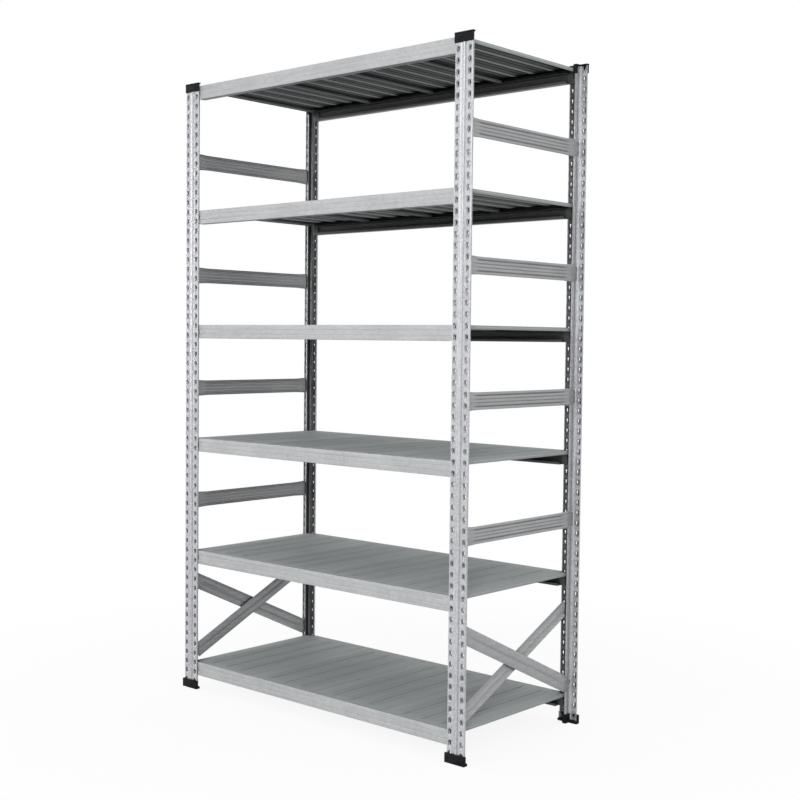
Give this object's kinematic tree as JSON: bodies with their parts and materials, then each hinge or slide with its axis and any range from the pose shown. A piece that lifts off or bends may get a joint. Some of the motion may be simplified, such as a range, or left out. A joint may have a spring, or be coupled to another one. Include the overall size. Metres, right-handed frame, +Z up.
{
  "type": "archive shelving",
  "caption": "Free-standing boltless archive shelving: slotted steel T posts with plastic caps and feet, hooked beams, ribbed steel decks, side bars and crossed braces.",
  "frame": {"origin": "on the floor, under the middle of the unit's outline", "axes": "+Z up, -Y out of the front face, +X to the right seen from the front"},
  "size_m": [1.2846, 0.5976, 2.12],
  "materials": {
    "post_steel": "bright galvanised, rolled",
    "beam_steel": "matt galvanised sheet",
    "deck_steel": "matt galvanised sheet",
    "strip_steel": "grey galvanised sheet",
    "black_plastic": "moulded, slightly satin"
  },
  "bodies": {
    "root": {"post_front_left": "post_steel", "cap_front_left": "black_plastic", "foot_front_left": "black_plastic", "post_front_right": "post_steel", "cap_front_right": "black_plastic", "foot_front_right": "black_plastic", "post_rear_left": "post_steel", "cap_rear_left": "black_plastic", "foot_rear_left": "black_plastic", "post_rear_right": "post_steel", "cap_rear_right": "black_plastic", "foot_rear_right": "black_plastic", "beam_front_1": "beam_steel", "beam_rear_1": "beam_steel", "deck_1_panel_1": "deck_steel", "deck_1_panel_2": "deck_steel", "deck_1_panel_3": "deck_steel", "deck_1_panel_4": "deck_steel", "beam_front_2": "beam_steel", "beam_rear_2": "beam_steel", "deck_2_panel_1": "deck_steel", "deck_2_panel_2": "deck_steel", "deck_2_panel_3": "deck_steel", "deck_2_panel_4": "deck_steel", "beam_front_3": "beam_steel", "beam_rear_3": "beam_steel", "deck_3_panel_1": "deck_steel", "deck_3_panel_2": "deck_steel", "deck_3_panel_3": "deck_steel", "deck_3_panel_4": "deck_steel", "beam_front_4": "beam_steel", "beam_rear_4": "beam_steel", "deck_4_panel_1": "deck_steel", "deck_4_panel_2": "deck_steel", "deck_4_panel_3": "deck_steel", "deck_4_panel_4": "deck_steel", "beam_front_5": "beam_steel", "beam_rear_5": "beam_steel", "deck_5_panel_1": "deck_steel", "deck_5_panel_2": "deck_steel", "deck_5_panel_3": "deck_steel", "deck_5_panel_4": "deck_steel", "beam_front_6": "beam_steel", "beam_rear_6": "beam_steel", "deck_6_panel_1": "deck_steel", "deck_6_panel_2": "deck_steel", "deck_6_panel_3": "deck_steel", "deck_6_panel_4": "deck_steel", "side_bar_left_2": "strip_steel", "side_bar_right_2": "strip_steel", "side_bar_left_3": "strip_steel", "side_bar_right_3": "strip_steel", "side_bar_left_4": "strip_steel", "side_bar_right_4": "strip_steel", "side_bar_left_5": "strip_steel", "side_bar_right_5": "strip_steel", "brace_left_outer": "strip_steel", "brace_left_inner": "strip_steel", "brace_right_outer": "strip_steel", "brace_right_inner": "strip_steel"}
  },
  "joints": []
}
